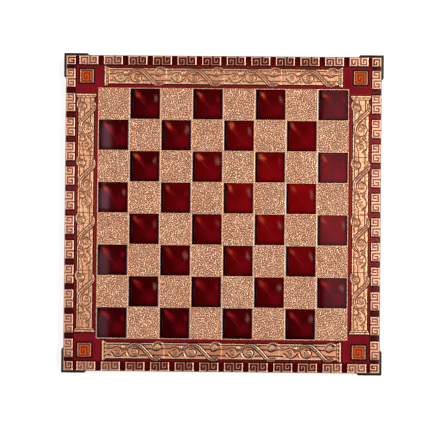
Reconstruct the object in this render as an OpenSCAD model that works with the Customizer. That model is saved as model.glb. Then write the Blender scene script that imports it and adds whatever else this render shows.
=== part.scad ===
// Square chessboard: a cast metal playing field with enamelled dark squares, a border
// of castings with a key pattern, four applied scroll bars, four corner medallions and
// four black corner feet on a wooden core.
// It lies flat. +Z is the normal of the playing face, files run along X and ranks along Y,
// and the origin is the middle of the four feet's undersides. All sizes are millimetres.

/* [Playing field] */
// Pitch of the playing squares
square_pitch = 35.5; // [30:0.5:44]
// Smooth lip of the field casting outside the outer squares
field_lip = 0.4; // [0.2:0.1:1.5]
// Thickness of the field casting
field_t = 5; // [4.2:0.1:6]
// Smooth metal kept round each dark pocket, inside its square
pocket_rim = 0.55; // [0.3:0.05:1.5]
// Corner radius of the dark pockets
pocket_r = 0.8; // [0.4:0.1:2]
// Depth of the dark pockets below the playing face
pocket_depth = 2.2; // [1.6:0.1:3]
// Thickness of the enamel poured into a dark pocket
inlay_t = 1.2; // [0.8:0.1:1.5]

/* [Slab] */
// Width of the border from the field casting to the outer edge
border_w = 36.8; // [36:0.1:44]
// Whole thickness of the slab
slab_t = 12; // [10:0.5:16]
// Thickness of the skirt that wraps the slab's edge
skirt_t = 2; // [1.5:0.1:3]
// Thickness of the lining under the core
lining_t = 0.6; // [0.4:0.1:1]
// Clearance between the wooden core and the skirts
core_fit = 0.25; // [0.1:0.05:0.5]

/* [Border channel] */
// Depth of the channel floor below the playing face
channel_depth = 3.5; // [3:0.1:3.9]
// Depth of the enamel surface below the playing face
enamel_drop = 1.9; // [1.2:0.1:2.4]
// Width of the plain outer lip
lip_w = 1; // [0.6:0.1:2]
// Corner radius of the pits between the key blocks
pit_r = 1.2; // [0.6:0.1:1.3]
// Extra corner radius of the enamel, which keeps its round corners off the metal
enamel_ease = 0.15; // [0.05:0.05:0.3]

/* [Key pattern] */
// Pairs of keys on one side
pair_count = 12; // [8:1:13]
// Length of one pair of keys
pair_l = 21.5; // [17:0.1:24]
// Width of the key row across the border
key_d = 9.8; // [8:0.1:10]
// Side of the single key block at each corner
corner_key = 10; // [9:0.1:11]
// Pit between a corner block and the next pair
corner_gap = 4; // [2.6:0.1:5]
// Depth of the key grooves
groove_d = 0.8; // [0.4:0.1:1.2]

/* [Scroll bars] */
// Width of a bar's body
bar_w = 17.5; // [14:0.1:18]
// Clear channel between the field casting and a bar's body
bar_gap = 4.55; // [3:0.05:5]
// Distance from a bar's end to the line of the field casting's corner
bar_setback = 7.2; // [6:0.1:12]
// Length of the flared cap at each end
cap_l = 5.1; // [4:0.1:7]
// How far a cap stands out from the body on each side
cap_flare = 2.5; // [1.5:0.1:2.6]
// Repeats of the scroll motif on one bar
motif_count = 4; // [3:1:5]
// Height of the scroll relief above the playing face
relief_h = 1; // [0.5:0.1:2]
// How far the knots stand out from the body on each side
knot_out = 2.35; // [1.5:0.05:2.4]

/* [Corner medallions] */
// Side of a medallion at its base
medallion_w = 16.4; // [14:0.1:18]
// Slope of a medallion's side, per side
medallion_slope = 0.9; // [0.4:0.1:1.5]
// Width of the medallion's top ridge
medallion_ridge = 1.3; // [0.8:0.1:2]
// Depth of the medallion's recess
medallion_recess = 1.8; // [1:0.1:2.4]

/* [Feet] */
// Height of the lower leg
leg_h = 13; // [8:0.5:20]
// Side of the lower leg
leg_w = 17; // [13:0.5:18]
// Step from a ledge's outer face in to the leg
leg_inset = 1.7; // [1:0.1:3]
// Thickness of the foot's plate under the slab
plate_t = 6; // [4:0.5:9]
// How far the ledge stands out beyond the slab's edge
ledge_out = 2.2; // [1.6:0.1:4]
// Length of a ledge's wing along its outer face
wing_l = 26.5; // [24:0.5:34]
// Step from the playing face down to the ledge's top
ledge_drop = 1; // [0.5:0.1:3]
// Clearance between the slab's edge and the ledge
foot_fit = 0.2; // [0.1:0.05:0.5]
// Chamfer on the foot's inner corner
foot_chamfer = 5; // [2:0.5:7]

/* [Foot screws] */
// Shank radius of a foot screw
screw_r = 1.6; // [1.2:0.1:2]
// Head radius of a foot screw
screw_head_r = 3.2; // [2.6:0.1:3.4]
// Radial clearance round a foot screw
screw_fit = 0.15; // [0.1:0.05:0.3]
// Core left above a screw's tip
screw_cover = 1.4; // [0.8:0.1:2]

/* [Hidden] */
$fn = 48;

SIDES = ["north", "east", "south", "west"];
CORNERS = [["nw", -1, 1], ["ne", 1, 1], ["sw", -1, -1], ["se", 1, -1]];
FILES = "abcdefgh";
squares = 8;

// Dark squares as [name, file, rank], with a1 dark
DARK = [for (f = [1:squares], r = [1:squares]) if ((f + r) % 2 == 0) [str(FILES[f - 1], r), f, r]];

// Heights above the surface that the feet stand on
z_under = leg_h + plate_t;
z_face = z_under + slab_t;
z_core = z_face - field_t;
z_channel = z_face - channel_depth;
z_enamel = z_face - enamel_drop;
eps = 0.01;

// Half sizes in plan
seam = squares / 2 * square_pitch + field_lip;
half = seam + border_w;
key_out = half - lip_w;
key_in = key_out - key_d;
corner_in = key_out - corner_key;
core_half = half - skirt_t - core_fit;

// The pairs of keys run from corner block to corner block
pair_start = corner_in - corner_gap;
pair_pitch = (2 * pair_start - pair_l) / (pair_count - 1);
pit_w = pair_pitch - pair_l;
key_cells = 7;
pair_cells = 2 * key_cells - 1;

// Largest corner radius of a pit, as a share of its width
pit_round = 0.4;

// Scroll bars
bar_half = seam - bar_setback;
bar_c = seam + bar_gap + bar_w / 2;
motif_l = 2 * (bar_half - cap_l) / motif_count;
// One motif is drawn on this length and follows the real motif's length
drawn_l = 65;
m = motif_l / drawn_l;
// Places of the motif's parts along that length
volute_s = [12, 32.8];
bud_s = 20;
rosette_s = 56;
hood_s = 58.3;
turn_s = 55.9;
// Places of the same parts across the bar, towards the rosettes
volute_v = -1.2;
bud_v = 4.1;
rosette_v = 4.6;
// Radii of the motif's parts, and widths of its strokes
volute_r = 5.2;
volute_eye_r = 1.3;
bud_r = 2.2;
rosette_r = 4;
rosette_eye_r = 1.5;
arch_r = 8.2;
knot_r = 9.4;
hoop_w = 1.1;
ribbon_w = 2.6;
collar_w = 1.2;
fillet_w = 1.1;
// Drop of the panels between the edge fillets, and gap of the knots over the enamel
panel_drop = 0.5;
knot_lift = 0.3;

// Medallions sit midway between the field casting and the key row
medallion_c = (seam + key_in) / 2;
medallion_top = medallion_w - 2 * medallion_slope;
medallion_in = medallion_top - 2 * medallion_ridge;
// Thickness of their enamel's plate, and the key's margin on it and drop below the face
orange_plate = 0.9;
orange_margin = 0.7;
orange_drop = 0.2;

// Feet
foot_out = half + ledge_out;
pad_w = wing_l + ledge_out;
screw_shift = 1;
screw_near = leg_inset + leg_w / 2 - screw_shift;
screw_far = (leg_inset + leg_w + pad_w) / 2;
screw_diag = screw_far - foot_chamfer / 4;
SCREWS = [[screw_far, screw_near], [screw_near, screw_far], [screw_diag, screw_diag]];
screw_tip = z_core - screw_cover;

// Turns what is drawn for the north side to side i, clockwise from above
module side(i) {
    rotate(-90 * i)
        children();
}

// Plan of one side's border casting: north and south run the full width
module footprint_2d(i) {
    run = i % 2 == 0 ? half : seam;
    side(i)
        translate([-run, seam])
            square([2 * run, border_w]);
}

// Pit open to the channel at y = 0, with round outer corners
module pit_2d(w, r) {
    square([w, key_d - r]);
    translate([r, 0])
        square([w - 2 * r, key_d]);
    for (x = [r, w - r])
        translate([x, key_d - r])
            circle(r);
}

// All pits of the north side; ease adds to their corner radius
module pit_row_2d(ease = 0) {
    wide = min(pit_r, pit_round * pit_w) + ease;
    narrow = min(pit_r, pit_round * corner_gap) + ease;
    for (k = [1:pair_count - 1])
        translate([-pair_start + k * pair_pitch - pit_w, key_in])
            pit_2d(pit_w, wide);
    for (x = [-corner_in, pair_start])
        translate([x, key_in])
            pit_2d(corner_gap, narrow);
}

// Corner blocks of all four corners
module corner_blocks_2d() {
    for (c = CORNERS)
        translate([c[1] * (corner_in + corner_key / 2), c[2] * (corner_in + corner_key / 2)])
            square(corner_key, center = true);
}

// Square ring between two half sizes
module ring_2d(outer, inner) {
    difference() {
        square(2 * outer, center = true);
        square(2 * inner, center = true);
    }
}

// Groove of one key on a grid of 7 by 7 cells of cu by cv, entered from y = 0
module key_groove_2d(cu, cv) {
    runs = [[5, 0, 6, 6], [1, 5, 6, 6], [1, 1, 2, 6], [1, 1, 4, 2], [3, 1, 4, 4]];
    for (r = runs)
        translate([r[0] * cu, r[1] * cv])
            square([(r[2] - r[0]) * cu, (r[3] - r[1]) * cv]);
}

// Two keys, the second one turned half a turn about the pair's middle
module pair_groove_2d() {
    cu = pair_l / pair_cells;
    cv = key_d / key_cells;
    key_groove_2d(cu, cv);
    translate([pair_l, key_d])
        rotate(180)
            key_groove_2d(cu, cv);
}

// Grooves of the pairs first to last on the north side
module groove_row_2d(first, last) {
    for (k = [first:last])
        translate([-pair_start + k * pair_pitch, key_in])
            pair_groove_2d();
}

// Grooves that border casting i can carry
module grooves_2d(i) {
    side(i)
        groove_row_2d(0, pair_count - 1);
    if (i % 2 == 0) {
        side(i + 1)
            groove_row_2d(0, 1);
        side(i + 3)
            groove_row_2d(pair_count - 2, pair_count - 1);
        side(i)
            translate([corner_in, corner_in])
                key_groove_2d(corner_key / key_cells, corner_key / key_cells);
        side(i + 3)
            translate([corner_in, corner_in])
                key_groove_2d(corner_key / key_cells, corner_key / key_cells);
    }
}

// Raised land of the key row, seen from above
module land_2d(i, outer) {
    intersection() {
        footprint_2d(i);
        union() {
            difference() {
                ring_2d(outer, key_in);
                for (s = [0:3])
                    side(s)
                        pit_row_2d();
            }
            corner_blocks_2d();
        }
    }
}

// Border casting: skirt, channel floor, outer lip and the grooved key row
module border(i) {
    color([0.76, 0.54, 0.41]) {
        translate([0, 0, z_under])
            linear_extrude(z_core - z_under + eps)
                intersection() {
                    footprint_2d(i);
                    ring_2d(half, half - skirt_t);
                }
        translate([0, 0, z_core])
            linear_extrude(z_channel - z_core)
                footprint_2d(i);
        translate([0, 0, z_channel - eps])
            linear_extrude(channel_depth - groove_d + eps)
                land_2d(i, half);
        translate([0, 0, z_face - groove_d - eps])
            linear_extrude(groove_d + eps)
                difference() {
                    land_2d(i, key_out);
                    grooves_2d(i);
                }
    }
}

// Enamel poured into one border casting, round the bar and the medallions
module channel_enamel(i) {
    color([0.5, 0.04, 0.1])
        translate([0, 0, z_channel])
            linear_extrude(z_enamel - z_channel)
                intersection() {
                    footprint_2d(i);
                    difference() {
                        union() {
                            ring_2d(key_in, seam);
                            for (s = [0:3])
                                side(s)
                                    pit_row_2d(enamel_ease);
                        }
                        corner_blocks_2d();
                        place_bar(i)
                            bar_seat_2d();
                        for (c = CORNERS)
                            translate([c[1] * medallion_c, c[2] * medallion_c])
                                square(medallion_w, center = true);
                    }
                }
}

// Field casting with its dark pockets
module field_casting() {
    color([0.8, 0.6, 0.44])
        difference() {
            translate([-seam, -seam, z_core])
                cube([2 * seam, 2 * seam, field_t]);
            for (d = DARK)
                at_square(d)
                    translate([0, 0, z_face - pocket_depth])
                        linear_extrude(pocket_depth + 1)
                            pocket_2d(pocket_r);
        }
}

module at_square(d) {
    middle = (squares + 1) / 2;
    translate([(d[1] - middle) * square_pitch, (d[2] - middle) * square_pitch])
        children();
}

// Square pocket with round corners
module pocket_2d(r) {
    w = square_pitch - 2 * pocket_rim;
    square([w, w - 2 * r], center = true);
    square([w - 2 * r, w], center = true);
    for (x = [-1, 1], y = [-1, 1])
        translate([x * (w / 2 - r), y * (w / 2 - r)])
            circle(r);
}

// Dark enamel of one square
module inlay(d) {
    color([0.32, 0.01, 0.04])
        at_square(d)
            translate([0, 0, z_face - pocket_depth])
                linear_extrude(inlay_t)
                    pocket_2d(pocket_r + enamel_ease);
}

// Wooden core inside the skirts, with pilot holes for the foot screws
module core_panel() {
    color([0.62, 0.47, 0.31])
        difference() {
            translate([-core_half, -core_half, z_under + lining_t])
                cube([2 * core_half, 2 * core_half, slab_t - field_t - lining_t]);
            at_screws()
                translate([0, 0, z_under])
                    cylinder(r = screw_r + screw_fit, h = screw_tip + screw_fit - z_under);
        }
}

// Thin lining glued under the core
module base_lining() {
    color([0.12, 0.1, 0.1])
        difference() {
            translate([-core_half, -core_half, z_under])
                cube([2 * core_half, 2 * core_half, lining_t]);
            at_screws()
                translate([0, 0, z_under - 1])
                    cylinder(r = screw_r + screw_fit, h = lining_t + 2);
        }
}

// North and south bars lie alike, and so do east and west, a quarter turn round
module place_bar(i) {
    out = (i == 0 || i == 3) ? 1 : -1;
    rotate(i % 2 == 0 ? 0 : 90)
        translate([0, out * bar_c])
            children();
}

// Outline of a bar where it stands in the channel: body and flared caps
module bar_seat_2d() {
    square([2 * bar_half - cap_l, bar_w], center = true);
    wide = bar_w / 2 + cap_flare;
    for (x = [0, 1])
        mirror([x, 0])
            polygon([
                [bar_half - cap_l, -bar_w / 2], [bar_half - cap_l / 2, -wide], [bar_half, -wide],
                [bar_half, wide], [bar_half - cap_l / 2, wide], [bar_half - cap_l, bar_w / 2]
            ]);
}

// Annulus in the bar's plan
module hoop_2d(r, w) {
    difference() {
        circle(r);
        circle(r - w);
    }
}

// Knots that stand out past the body on both sides: rosette hood above, ribbon turn below
module knots_2d() {
    shift = bar_w / 2 + knot_out - knot_r;
    for (k = [0:motif_count - 1])
        translate([-bar_half + cap_l + k * motif_l, 0]) {
            translate([hood_s * m, shift])
                circle(knot_r);
            translate([turn_s * m, -shift])
                circle(knot_r);
        }
}

// Ribbon that rises from between the volutes, arches over the second and falls across the bar
module ribbon_2d() {
    w = ribbon_w;
    arch = [volute_s[1] * m, volute_v];
    reach = 2 * arch_r;
    translate(arch)
        intersection() {
            hoop_2d(arch_r, w);
            polygon([[0, 0], [reach, reach], [-reach, reach], [-reach, reach / 6]]);
        }
    stroke_2d([bud_s * m, -2.6], arch + [-6.1, 3.7], w);
    stroke_2d(arch + [5.4, 5.4], [turn_s * m - 2, 1.2 - bar_w / 2], w);
}

// Straight stroke of width w from a to b
module stroke_2d(a, b, w) {
    d = b - a;
    translate(a)
        rotate(atan2(d[1], d[0]))
            translate([0, -w / 2])
                square([norm(d), w]);
}

// Relief of one motif: two volutes, bud, rosette and ribbon
module motif_2d() {
    for (x = volute_s)
        translate([x * m, volute_v]) {
            hoop_2d(volute_r, hoop_w);
            circle(volute_eye_r);
        }
    translate([bud_s * m, bud_v])
        circle(bud_r);
    translate([rosette_s * m, rosette_v]) {
        hoop_2d(rosette_r, hoop_w);
        circle(rosette_eye_r);
    }
    ribbon_2d();
}

// One scroll bar: seat and body, edge fillets, knots and the raised motifs
module scroll_bar(i) {
    knot_z = z_enamel + knot_lift;
    mid_h = channel_depth + relief_h / 2;
    cap_w = bar_w + 2 * cap_flare;
    color([0.78, 0.57, 0.42])
        place_bar(i) {
            translate([0, 0, z_channel])
                linear_extrude(channel_depth - panel_drop)
                    bar_seat_2d();
            translate([0, 0, knot_z])
                linear_extrude(z_face - knot_z)
                    knots_2d();
            for (y = [-1, 1])
                translate([0, y * (bar_w - fillet_w) / 2, z_channel + channel_depth / 2])
                    cube([2 * bar_half - cap_l, fillet_w, channel_depth], center = true);
            for (x = [-1, 1])
                translate([x * (bar_half - cap_l / 4), 0, z_channel + mid_h / 2])
                    cube([cap_l / 2, cap_w, mid_h], center = true);
            for (k = [1:motif_count - 1])
                translate([-bar_half + cap_l + k * motif_l, 0, z_channel + mid_h / 2])
                    cube([collar_w, bar_w, mid_h], center = true);
            translate([0, 0, z_face - panel_drop - eps])
                linear_extrude(panel_drop + relief_h + eps)
                    for (k = [0:motif_count - 1])
                        translate([-bar_half + cap_l + k * motif_l, 0])
                            motif_2d();
        }
}

// Corner medallion: a square frame with sloping sides and a square recess
module medallion(c) {
    b = medallion_w / 2;
    t = medallion_top / 2;
    color([0.72, 0.45, 0.38])
        translate([c[1] * medallion_c, c[2] * medallion_c, z_channel])
            difference() {
                intersection() {
                    frustum_side(b, t, 0);
                    frustum_side(b, t, 90);
                }
                translate([-medallion_in / 2, -medallion_in / 2, channel_depth - medallion_recess])
                    cube([medallion_in, medallion_in, medallion_recess + 1]);
            }
}

// Prism with sloping flanks; two of them crossed make the medallion's body
module frustum_side(b, t, a) {
    rotate(a)
        rotate([90, 0, 0])
            translate([0, 0, -b])
                linear_extrude(2 * b)
                    polygon([[-b, 0], [b, 0], [t, channel_depth], [-t, channel_depth]]);
}

// Orange enamel of a medallion: a plate with a raised square key
module medallion_enamel(c) {
    key_w = medallion_in - 2 * orange_margin;
    cell = key_w / key_cells;
    color([0.9, 0.32, 0.05])
        translate([c[1] * medallion_c, c[2] * medallion_c, z_face - medallion_recess]) {
            translate([-medallion_in / 2, -medallion_in / 2, 0])
                cube([medallion_in, medallion_in, orange_plate]);
            translate([-key_w / 2, -key_w / 2, orange_plate - eps])
                linear_extrude(medallion_recess - orange_plate - orange_drop)
                    difference() {
                        square(key_w);
                        key_groove_2d(cell, cell);
                    }
        }
}

// Places children at a corner, measured inwards from the foot's outer corner
module at_corner(c) {
    translate([c[1] * foot_out, c[2] * foot_out])
        mirror([c[1] > 0 ? 1 : 0, 0])
            mirror([0, c[2] > 0 ? 1 : 0])
                children();
}

module at_screws() {
    for (c = CORNERS)
        at_corner(c)
            for (s = SCREWS)
                translate(s)
                    children();
}

// Plan of a foot's ledge, with chamfered wing ends and inner corner
module ledge_2d() {
    polygon([
        [0, 0], [wing_l, 0], [pad_w, ledge_out], [pad_w, pad_w - foot_chamfer],
        [pad_w - foot_chamfer, pad_w], [ledge_out, pad_w], [0, wing_l]
    ]);
}

// One foot: ledge round the slab's corner, plate under it and a narrower leg
module foot(c) {
    edge = ledge_out - foot_fit;
    sink = screw_head_r - screw_r;
    color([0.09, 0.08, 0.08])
        at_corner(c)
            difference() {
                union() {
                    translate([0, 0, leg_h])
                        linear_extrude(plate_t)
                            ledge_2d();
                    translate([0, 0, leg_h])
                        linear_extrude(plate_t + slab_t - ledge_drop)
                            difference() {
                                ledge_2d();
                                translate([edge, edge])
                                    square(2 * pad_w);
                            }
                    translate([leg_inset, leg_inset, 0])
                        cube([leg_w, leg_w, leg_h + eps]);
                }
                for (s = SCREWS)
                    translate([s[0], s[1], leg_h - eps]) {
                        cylinder(r = screw_r + screw_fit, h = plate_t + 1);
                        cylinder(r1 = screw_head_r + screw_fit, r2 = screw_r + screw_fit, h = sink);
                    }
            }
}

// Countersunk foot screws with a cross slot, all alike
module foot_screws() {
    sink = screw_head_r - screw_r;
    slot_w = 0.9;
    color([0.35, 0.34, 0.33])
        at_screws()
            translate([0, 0, leg_h])
                difference() {
                    union() {
                        cylinder(r = screw_r, h = screw_tip - leg_h);
                        cylinder(r1 = screw_head_r, r2 = screw_r, h = sink);
                    }
                    for (a = [0, 90])
                        rotate(a)
                            translate([-screw_r, -slot_w / 2, -eps])
                                cube([2 * screw_r, slot_w, sink / 2]);
                }
}

core_panel();
base_lining();
field_casting();
for (i = [0:3]) {
    border(i);
    channel_enamel(i);
    scroll_bar(i);
}
for (c = CORNERS) {
    medallion(c);
    medallion_enamel(c);
    foot(c);
}
foot_screws();
for (d = DARK) {
    inlay(d);
}
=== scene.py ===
"""Chessboard of cast, copper-plated metal with red enamel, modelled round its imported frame.

Sizes are in millimetres, and in metres only where Blender takes them. +Z is the normal of the
playing face, files run along X and ranks along Y, as in the frame.
"""
import math

import bmesh
import bpy
import numpy as np
from mathutils import Matrix, Vector
from mathutils.geometry import delaunay_2d_cdt


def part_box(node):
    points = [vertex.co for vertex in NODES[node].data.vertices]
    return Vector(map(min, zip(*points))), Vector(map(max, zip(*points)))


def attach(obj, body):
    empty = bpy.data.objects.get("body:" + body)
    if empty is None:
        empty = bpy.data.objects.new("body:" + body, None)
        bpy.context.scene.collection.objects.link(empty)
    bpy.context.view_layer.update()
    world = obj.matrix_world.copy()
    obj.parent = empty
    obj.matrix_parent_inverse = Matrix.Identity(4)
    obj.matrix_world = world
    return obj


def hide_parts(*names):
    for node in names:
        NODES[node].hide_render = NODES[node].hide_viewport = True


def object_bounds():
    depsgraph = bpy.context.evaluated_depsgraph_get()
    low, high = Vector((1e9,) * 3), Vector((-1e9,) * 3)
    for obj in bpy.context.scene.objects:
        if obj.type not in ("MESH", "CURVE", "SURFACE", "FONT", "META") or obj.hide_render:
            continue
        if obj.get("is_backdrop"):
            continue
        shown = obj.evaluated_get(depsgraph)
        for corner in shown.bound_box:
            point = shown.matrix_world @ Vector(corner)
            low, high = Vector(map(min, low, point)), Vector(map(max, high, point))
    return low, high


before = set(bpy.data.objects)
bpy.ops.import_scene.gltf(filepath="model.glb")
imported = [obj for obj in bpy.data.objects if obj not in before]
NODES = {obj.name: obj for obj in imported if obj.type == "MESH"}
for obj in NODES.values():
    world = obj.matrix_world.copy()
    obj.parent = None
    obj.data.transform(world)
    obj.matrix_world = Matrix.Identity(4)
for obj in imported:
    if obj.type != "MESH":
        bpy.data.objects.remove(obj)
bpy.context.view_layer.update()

MM = 0.001
SIDES = ("north", "east", "south", "west")
CORNERS = {"nw": (-1, 1), "ne": (1, 1), "sw": (-1, -1), "se": (1, -1)}
FILES = "abcdefgh"
SQUARES = 8
BAKE_MAP = "OFBake"
# Slack for comparing places
HAIR = 0.01
# Edges sharper than this many degrees stay sharp
CREASE = 40


def span(node):
    """Lowest and highest corner of a node of the frame, in millimetres."""
    low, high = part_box(node)
    return np.array(low) / MM, np.array(high) / MM


# Sizes that the frame gives
field_low, field_high = span("field_casting")
seam = field_high[0]
z_face = field_high[2]
z_core = field_low[2]
slab_low, slab_high = span("border_north")
half = slab_high[0]
z_under = slab_low[2]
channel_low, channel_high = span("channel_enamel_north")
key_out = channel_high[1]
z_channel = channel_low[2]
z_enamel = channel_high[2]
a1_low, a1_high = span("inlay_a1")
h8_low = span("inlay_h8")[0]
pitch = (h8_low[0] - a1_low[0]) / (SQUARES - 1)
pocket_w = a1_high[0] - a1_low[0]
z_pocket = a1_low[2]
z_inlay = a1_high[2]
frame_low, frame_high = span("medallion_ne")
medallion_c = (frame_low[0] + frame_high[0]) / 2
medallion_w = frame_high[0] - frame_low[0]
recess_low, recess_high = span("medallion_enamel_ne")
medallion_in = recess_high[0] - recess_low[0]
z_recess = recess_low[2]
z_orange = recess_high[2]
bar_low, bar_high = span("scroll_bar_north")
bar_half = bar_high[0]
bar_c = (bar_low[1] + bar_high[1]) / 2

# Sizes of the border's pattern, as in the frame's source
key_in = 2 * medallion_c - seam
key_d = key_out - key_in
key_cells = 7
corner_key = 10
corner_gap = 4
corner_gap_r = 0.4 * corner_gap
pair_count = 12
pair_l = 21.5
groove_d = 0.8
pit_r = 1.2
skirt_t = 2
corner_in = key_out - corner_key
pair_start = corner_in - corner_gap
pair_pitch = (2 * pair_start - pair_l) / (pair_count - 1)
pit_w = pair_pitch - pair_l
pair_cell = pair_l / (2 * key_cells - 1)
corner_cell = corner_key / key_cells

# Sizes of the scroll bars, as in the frame's source
bar_w = 17.5
cap_l = 5.1
cap_flare = 2.5
motif_count = 4
motif_l = 2 * (bar_half - cap_l) / motif_count

rng = np.random.default_rng(64)


# Small shape tools

def ramp(x, start, end):
    """Smooth step from 0 at start to 1 at end."""
    t = np.clip((x - start) / (end - start), 0, 1)
    return t * t * (3 - 2 * t)


def crown(share, flatness=2):
    """Rounded profile: 1 in the middle, 0 where share reaches 1. A higher flatness squares it."""
    return np.sqrt(np.clip(1 - np.abs(share) ** flatness, 0, 1))


def smooth_line(points, steps=6):
    """Points of a smooth curve through a few chosen ones."""
    p = np.asarray(points, float)
    ends = np.vstack([2 * p[0] - p[1], p, 2 * p[-1] - p[-2]])
    t = np.linspace(0, 1, steps, endpoint=False)[:, None]
    parts = []
    for a, b, c, d in zip(ends, ends[1:], ends[2:], ends[3:]):
        bend = 2 * a - 5 * b + 4 * c - d + t * (3 * (b - c) + d - a)
        parts.append(b + 0.5 * t * (c - a + t * bend))
    return np.vstack(parts + [p[-1:]])


def spiral(centre, outer, inner, start, turns, steps=44):
    """Points of an even spiral from the outside in. start is in degrees, turns are anticlockwise."""
    a = math.radians(start) + np.linspace(0, 2 * math.pi * turns, steps)
    r = np.linspace(outer, inner, steps)
    return np.column_stack([centre[0] + r * np.cos(a), centre[1] + r * np.sin(a)])


def along_edge(a, b, points):
    """Distance from the edge between a and b to each point, and how far along the edge that is."""
    d, rel = b - a, points - a
    t = np.clip(rel @ d / (d @ d), 0, 1)
    return np.hypot(rel[..., 0] - t * d[0], rel[..., 1] - t * d[1]), t


def beside(line, half_width, x, y):
    """Distance from a line to each grid point, as a share of the line's half width there."""
    line = np.asarray(line, float)
    given = np.atleast_1d(half_width)
    widths = np.interp(np.linspace(0, 1, len(line)), np.linspace(0, 1, len(given)), given)
    points = np.stack([x, y], -1)
    best = np.full(x.shape, np.inf)
    for a, b, wide_a, wide_b in zip(line, line[1:], widths, widths[1:]):
        away, t = along_edge(a, b, points)
        best = np.minimum(best, away / (wide_a + (wide_b - wide_a) * t))
    return best


def inside(rect, x, y):
    """Distance from a rectangle's edge to each grid point, positive inside."""
    x0, y0, x1, y1 = rect
    return np.minimum(np.minimum(x - x0, x1 - x), np.minimum(y - y0, y1 - y))


def round_corners(half_w, radius, x, y):
    """Draws a square grid's corners in, so that each ring of it has round corners.

    Returns the new x and y, and each point's distance in from the outline.
    """
    in_x, in_y = half_w - np.abs(x), half_w - np.abs(y)
    near, far = np.minimum(in_x, in_y), np.maximum(in_x, in_y)
    ring_r = np.maximum(radius - near, 1e-6)
    turn_a = math.pi / 4 * (1 - np.clip((far - near) / ring_r, 0, 1))
    bent = far < radius
    new_near = np.where(bent, radius - ring_r * np.cos(turn_a), near)
    new_far = np.where(bent, radius - ring_r * np.sin(turn_a), far)
    flip = in_y < in_x
    new_x = np.sign(x) * (half_w - np.where(flip, new_far, new_near))
    new_y = np.sign(y) * (half_w - np.where(flip, new_near, new_far))
    return new_x, new_y, near


def grain(rows, cols, step, longest, shortest):
    """Random bumps whose widths lie between two sizes, with a spread of 1."""
    fade_in, fade_out = 0.7, 1.4
    spectrum = np.fft.rfft2(rng.standard_normal((rows, cols)))
    waves = np.hypot(np.fft.fftfreq(rows, step)[:, None], np.fft.rfftfreq(cols, step)[None])
    band = ramp(waves, fade_in / longest, 1 / longest)
    band = band * (1 - ramp(waves, 1 / shortest, fade_out / shortest))
    bumps = np.fft.irfft2(spectrum * band, (rows, cols))
    return bumps / bumps.std()


def grid_line(values, closest, widest):
    """Sorted values, both ends among them: none too close to its neighbour, and with even steps
    added wherever two lie too wide apart."""
    values = np.unique(values)
    kept = [values[0]]
    for v in values[1:-1]:
        if v - kept[-1] > closest and values[-1] - v > closest:
            kept.append(v)
    kept.append(values[-1])
    full = [values[:1]]
    for a, b in zip(kept, kept[1:]):
        full.append(np.linspace(a, b, math.ceil((b - a) / widest) + 1)[1:])
    return np.concatenate(full)


# Meshes

# Shares of the bake's map: the top's width, the walls' feet, the strip below them and the underside
MAP_TOP, MAP_FEET, MAP_STRIP, MAP_UNDER = 0.92, 0.99, 0.06, 0.04


def ring(index):
    """The border of a block of the grid's points, anticlockwise."""
    return np.concatenate([index[0, :-1], index[:-1, -1], index[-1, :0:-1], index[:0:-1, 0]])


def grid_solid(name, x, y, z, underside, marks, floors=()):
    """Closed solid over a grid of points: z on top, straight walls round it and a flat underside.

    marks are values per grid point that the materials read by name. floors are blocks of the
    grid, as first and last row and column, that are one flat face each.
    """
    index = np.arange(z.size).reshape(z.shape)
    keep = np.ones((z.shape[0] - 1, z.shape[1] - 1), bool)
    flats = []
    for r0, r1, c0, c1 in floors:
        keep[r0:r1, c0:c1] = False
        flats.append(ring(index[r0 : r1 + 1, c0 : c1 + 1]))
    quad = index[:-1, :-1], index[:-1, 1:], index[1:, 1:], index[1:, :-1]
    quads = np.column_stack([c[keep] for c in quad])
    rim = ring(index)
    foot = z.size + np.arange(len(rim))
    walls = np.column_stack([rim, foot, np.roll(foot, -1), np.roll(rim, -1)])
    points = np.column_stack([x.ravel(), y.ravel(), z.ravel()])
    feet = points[rim]
    feet[:, 2] = underside
    points = np.vstack([points, feet])

    used = np.unique(np.concatenate([quads.ravel(), walls.ravel(), *flats]))
    number = np.full(len(points), -1)
    number[used] = np.arange(len(used))
    faces = [*number[quads].tolist(), *number[walls].tolist()]
    faces += [number[f].tolist() for f in flats] + [number[foot[::-1]].tolist()]
    mesh = bpy.data.meshes.new(name)
    mesh.from_pydata((points[used] * MM).tolist(), [], faces)
    mark_points(mesh, {key: np.append(v.ravel(), v.ravel()[rim])[used] for key, v in marks.items()})
    lay_flat(mesh, points[used], len(rim))
    return finished(mesh)


def mark_points(mesh, marks):
    """Gives a mesh values per point, which the materials read by name."""
    for key, values in marks.items():
        data = mesh.attributes.new(key, "FLOAT", "POINT").data
        data.foreach_set("value", np.asarray(values, np.float32))


def lay_flat(mesh, points, foot_count):
    """The bake's map: the top seen from above, its walls folded out round it, the underside below."""
    low, high = points.min(0), points.max(0)
    place = (points - low)[:, :2] / (high - low)[:2]
    spread = 0.5 + (place - 0.5) * MAP_TOP
    spread[-foot_count:] = 0.5 + (place[-foot_count:] - 0.5) * MAP_FEET
    spread[:, 1] = MAP_STRIP + (1 - MAP_STRIP) * spread[:, 1]
    vertex = np.empty(len(mesh.loops), np.int32)
    mesh.loops.foreach_get("vertex_index", vertex)
    uv = spread[vertex]
    uv[-foot_count:] = place[vertex[-foot_count:]] * (1, MAP_UNDER)
    mesh.uv_layers.new(name=BAKE_MAP).uv.foreach_set("vector", uv.astype(np.float32).ravel())


def finished(mesh, crease=CREASE):
    """Object for a mesh, shaded smooth up to the crease angle in degrees."""
    mesh.validate()
    mesh.shade_smooth()
    mesh.set_sharp_from_angle(angle=math.radians(crease))
    piece = bpy.data.objects.new(mesh.name, mesh)
    bpy.context.scene.collection.objects.link(piece)
    return piece


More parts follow.
